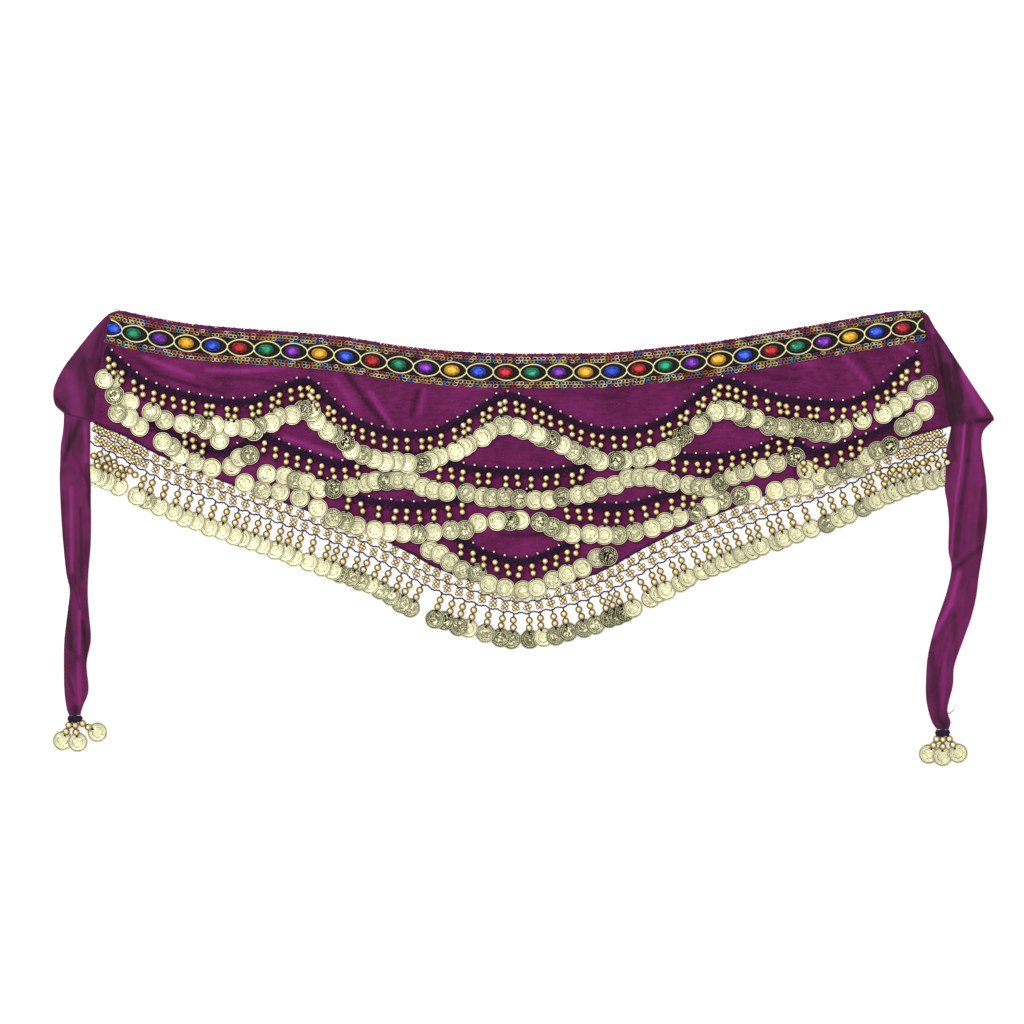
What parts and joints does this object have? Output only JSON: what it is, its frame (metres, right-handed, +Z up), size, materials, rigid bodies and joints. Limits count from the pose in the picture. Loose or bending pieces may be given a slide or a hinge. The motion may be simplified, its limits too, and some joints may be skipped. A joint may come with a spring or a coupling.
{
  "type": "belly dance hip scarf lying flat",
  "caption": "Hip scarf lying flat: a velvet panel with a pointed beaded hem, waves of coins, a jewelled ribbon along the waist and a folded tie at each end.",
  "frame": {"origin": "on the surface that the scarf lies on, midway along and across the laid-out scarf", "axes": "+Z up off the surface, +X along the scarf from its left tie to its right tie, +Y across it towards the waist edge"},
  "size_m": [0.8, 0.3876, 0.0069],
  "materials": {
    "velvet": "plum crushed velvet with a soft nap",
    "tie_cloth": "plum smooth cloth with a faint sheen",
    "ribbon": "black woven ribbon with pale gold cord rings",
    "braid": "metallic loop braid in many colours",
    "coins": "pale gold stamped coins and gold beads on dark purple crochet",
    "net_beads": "small pale gold beads in a crocheted net",
    "gem_blue": "faceted",
    "gem_green": "faceted",
    "gem_purple": "faceted",
    "gem_amber": "faceted",
    "gem_red": "faceted"
  },
  "bodies": {
    "root": {"panel": "velvet", "tie_left": "tie_cloth", "tie_right": "tie_cloth", "ribbon_band": "ribbon", "braid_upper": "braid", "braid_lower": "braid", "coin_row_1a": "coins", "coin_row_1b": "coins", "coin_row_1c": "coins", "coin_row_2a": "coins", "coin_row_2b": "coins", "coin_row_2c": "coins", "coin_row_3a": "coins", "coin_row_3b": "coins", "coin_row_4": "coins", "fringe_left_hip": "coins", "fringe_left": "coins", "fringe_point": "coins", "fringe_right": "coins", "fringe_right_hip": "coins", "tie_end_left": "coins", "tie_end_right": "coins", "net_left": "net_beads", "net_point": "net_beads", "net_right": "net_beads", "gem_01": "gem_blue", "gem_02": "gem_green", "gem_03": "gem_purple", "gem_04": "gem_amber", "gem_05": "gem_blue", "gem_06": "gem_red", "gem_07": "gem_green", "gem_08": "gem_purple", "gem_09": "gem_amber", "gem_10": "gem_blue", "gem_11": "gem_red", "gem_12": "gem_green", "gem_13": "gem_purple", "gem_14": "gem_amber", "gem_15": "gem_blue", "gem_16": "gem_red", "gem_17": "gem_green", "gem_18": "gem_purple", "gem_19": "gem_amber", "gem_20": "gem_blue", "gem_21": "gem_red", "gem_22": "gem_green", "gem_23": "gem_purple", "gem_24": "gem_amber", "gem_25": "gem_blue", "gem_26": "gem_red", "gem_27": "gem_green", "gem_28": "gem_purple", "gem_29": "gem_amber", "gem_30": "gem_blue", "gem_31": "gem_red"}
  },
  "joints": []
}
